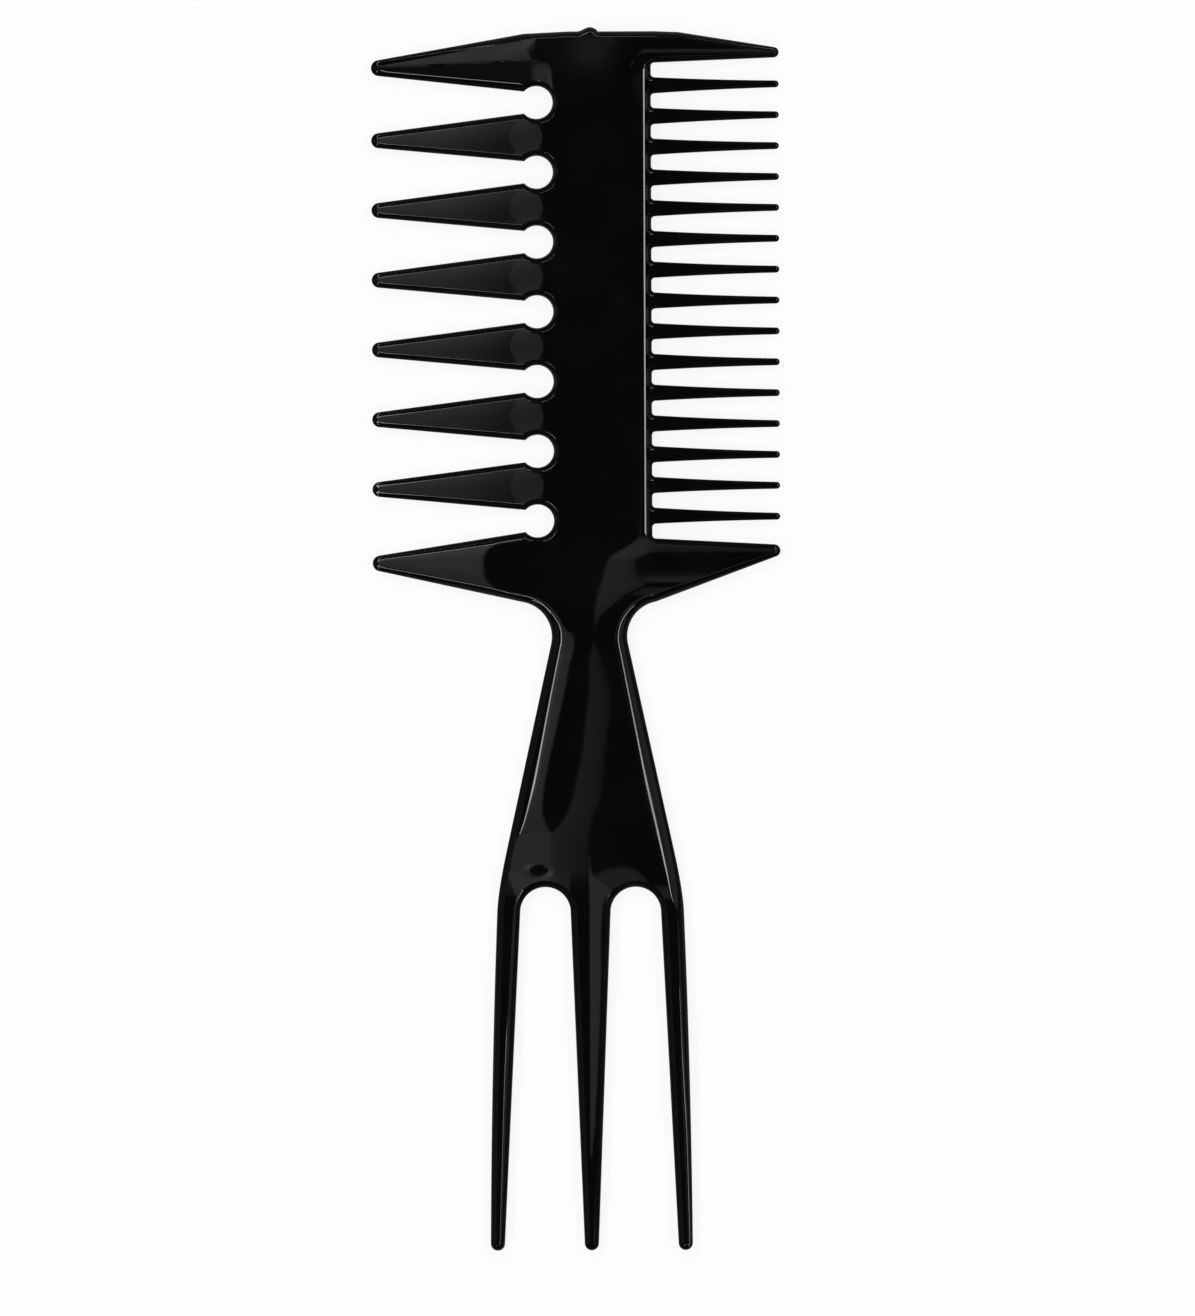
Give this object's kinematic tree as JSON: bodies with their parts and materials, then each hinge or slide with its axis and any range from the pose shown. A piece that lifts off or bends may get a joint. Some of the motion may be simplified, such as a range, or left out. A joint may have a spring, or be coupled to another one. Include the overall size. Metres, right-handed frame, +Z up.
{
  "type": "volumizing comb",
  "caption": "Flat double-sided comb with wide teeth and keyhole roots on one side, fine teeth on the other, and a waisted handle that ends in a pronged lifting fork.",
  "frame": {"origin": "middle of the comb's outline, on the plane that its back rests on", "axes": "+X across the teeth towards the fine row, +Y along the comb towards the head's top edge, +Z up out of the face"},
  "size_m": [0.0752, 0.2256, 0.0044],
  "materials": {
    "black_plastic": "polished black injection-moulded plastic"
  },
  "bodies": {
    "root": {"spine": "black_plastic", "wide_tooth_01": "black_plastic", "wide_tooth_02": "black_plastic", "wide_tooth_03": "black_plastic", "wide_tooth_04": "black_plastic", "wide_tooth_05": "black_plastic", "wide_tooth_06": "black_plastic", "wide_tooth_07": "black_plastic", "wide_tooth_08": "black_plastic", "fine_tooth_01": "black_plastic", "fine_tooth_02": "black_plastic", "fine_tooth_03": "black_plastic", "fine_tooth_04": "black_plastic", "fine_tooth_05": "black_plastic", "fine_tooth_06": "black_plastic", "fine_tooth_07": "black_plastic", "fine_tooth_08": "black_plastic", "fine_tooth_09": "black_plastic", "fine_tooth_10": "black_plastic", "fine_tooth_11": "black_plastic", "fine_tooth_12": "black_plastic", "fine_tooth_13": "black_plastic", "fine_tooth_14": "black_plastic", "fine_tooth_15": "black_plastic", "fine_tooth_16": "black_plastic", "fine_tooth_17": "black_plastic", "handle": "black_plastic", "prong_left": "black_plastic", "prong_centre": "black_plastic", "prong_right": "black_plastic"}
  },
  "joints": []
}
